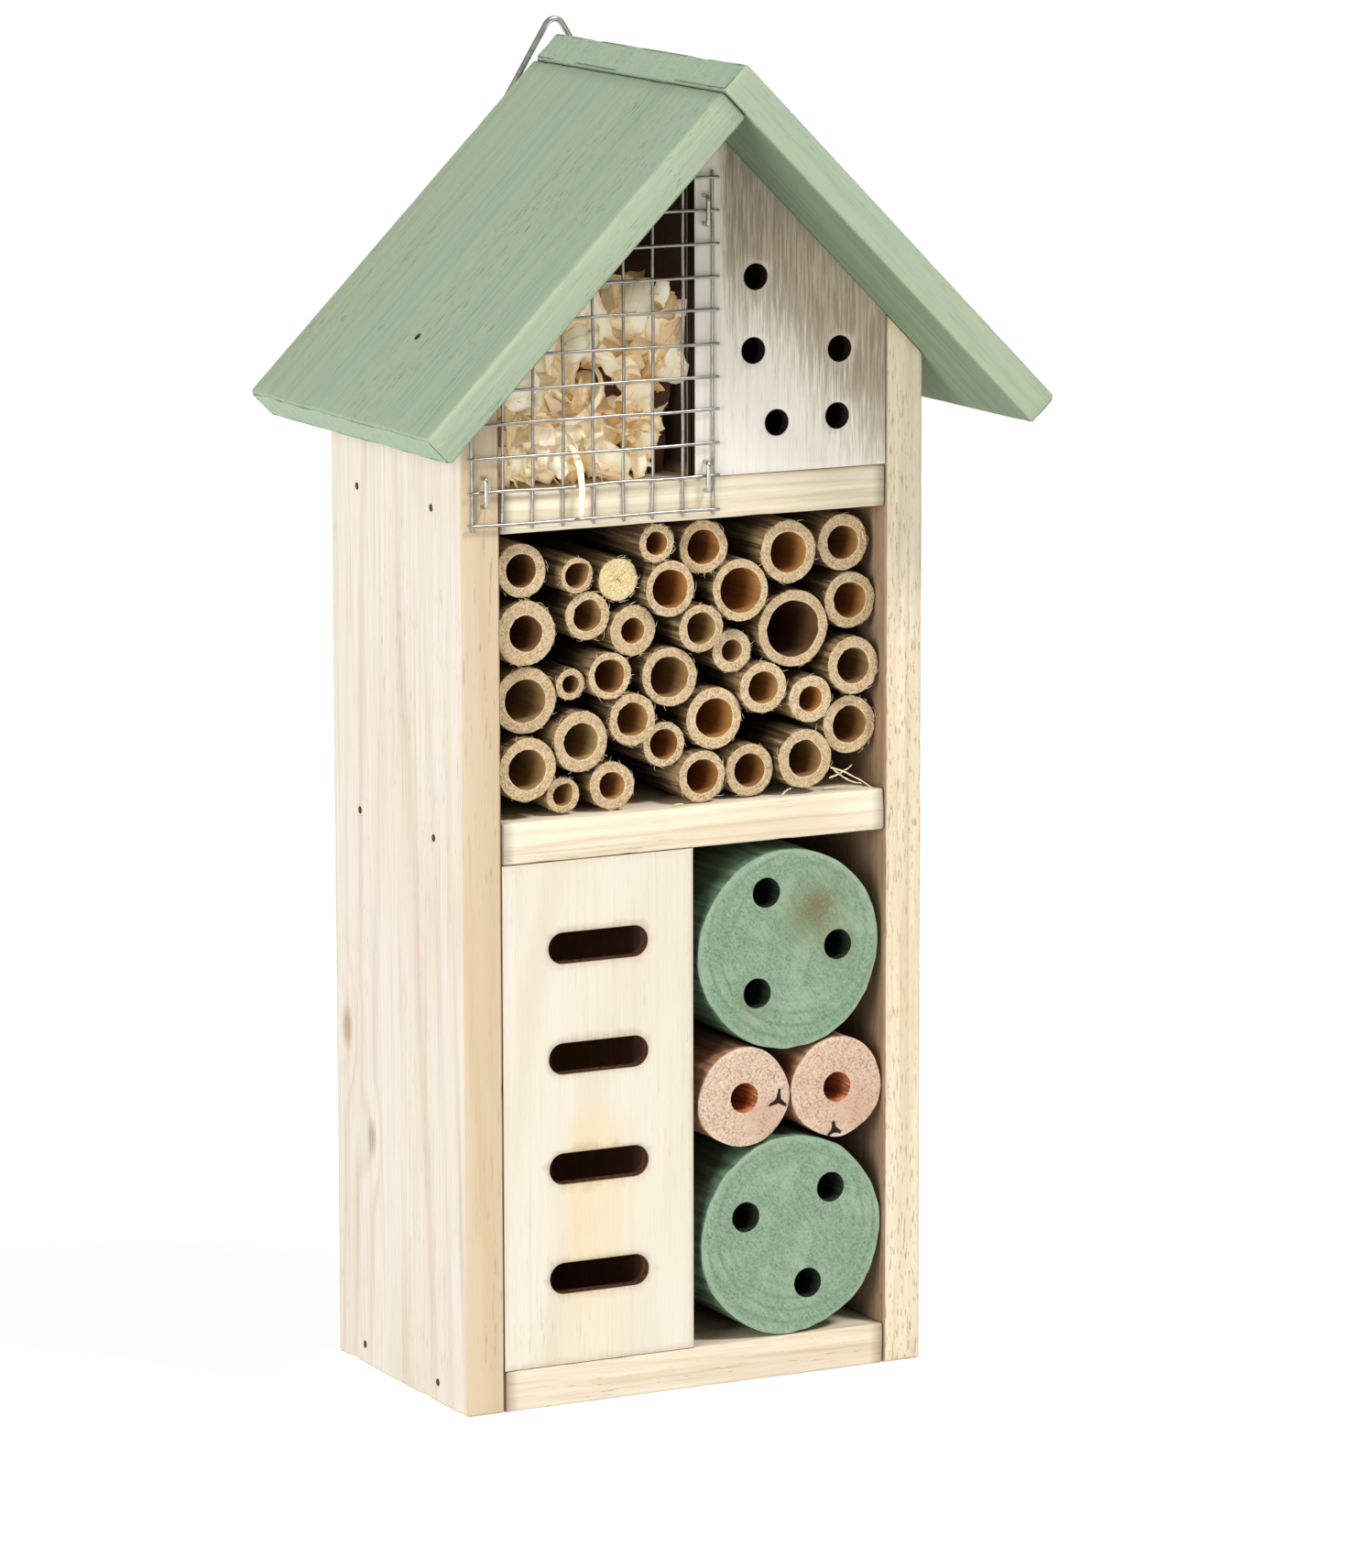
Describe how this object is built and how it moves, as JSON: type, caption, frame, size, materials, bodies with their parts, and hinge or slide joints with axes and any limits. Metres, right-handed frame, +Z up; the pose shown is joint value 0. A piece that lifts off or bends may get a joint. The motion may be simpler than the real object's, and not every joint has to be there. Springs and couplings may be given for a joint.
{
  "type": "insect hotel",
  "caption": "Gabled wooden house for nesting insects: bays filled with bamboo tubes, drilled logs and shavings behind wire mesh, slotted and drilled panels, and a swinging wire hanger",
  "frame": {"origin": "under the middle of the whole object, on the plane of the base's underside", "axes": "+Z up, -Y out of the open front, +X to the right as seen from the front"},
  "size_m": [0.132, 0.082, 0.26],
  "materials": {
    "pine": "bare planed pine",
    "plywood": "laser-cut thin plywood",
    "green_stained_wood": "matt sage-green stain",
    "green_log": "green stained end grain",
    "branch_wood": "bare end grain",
    "bamboo": "cut cane",
    "wood_shavings": "loose planed curls",
    "galvanised_wire": "galvanised",
    "steel_brads": "dull steel",
    "hanger_steel": "bright zinc"
  },
  "bodies": {
    "house": {"left_wall": "pine", "right_wall": "pine", "base_board": "pine", "lower_shelf": "pine", "upper_shelf": "pine", "back_panel": "plywood", "left_roof_board": "green_stained_wood", "right_roof_board": "green_stained_wood", "slotted_panel": "plywood", "drilled_panel": "plywood", "lower_divider": "plywood", "upper_divider": "plywood", "wire_mesh": "galvanised_wire", "mesh_staples": "galvanised_wire", "wall_brads": "steel_brads", "roof_brads": "steel_brads", "hanger_strap": "hanger_steel", "hanger_nail": "steel_brads", "green_log_lower": "green_log", "branch_log_left": "branch_wood", "branch_log_right": "branch_wood", "green_log_upper": "green_log", "wood_shavings": "wood_shavings", "bamboo_tube_01": "bamboo", "bamboo_tube_02": "bamboo", "bamboo_tube_03": "bamboo", "bamboo_tube_04": "bamboo", "bamboo_tube_05": "bamboo", "bamboo_tube_06": "bamboo", "bamboo_tube_07": "bamboo", "bamboo_tube_08": "bamboo", "bamboo_tube_09": "bamboo", "bamboo_tube_10": "bamboo", "bamboo_tube_11": "bamboo", "bamboo_tube_12": "bamboo", "bamboo_tube_13": "bamboo", "bamboo_tube_14": "bamboo", "bamboo_tube_15": "bamboo", "bamboo_tube_16": "bamboo", "bamboo_tube_17": "bamboo", "bamboo_tube_18": "bamboo", "bamboo_tube_19": "bamboo", "bamboo_tube_20": "bamboo", "bamboo_tube_21": "bamboo", "bamboo_tube_22": "bamboo", "bamboo_tube_23": "bamboo", "bamboo_tube_24": "bamboo", "bamboo_tube_25": "bamboo", "bamboo_tube_26": "bamboo", "bamboo_tube_27": "bamboo", "bamboo_tube_28": "bamboo", "bamboo_tube_29": "bamboo", "bamboo_tube_30": "bamboo", "bamboo_tube_31": "bamboo", "bamboo_tube_32": "bamboo", "bamboo_tube_33": "bamboo", "bamboo_tube_34": "bamboo"},
    "hanger": {"hanger_ring": "hanger_steel"}
  },
  "joints": [
    {"name": "hanger_swing", "type": "hinge", "parent": "house", "child": "hanger", "pos_m": [0, 0.0398, 0.241], "axis": [-1, 0, 0], "range_deg": [0, 170]}
  ]
}
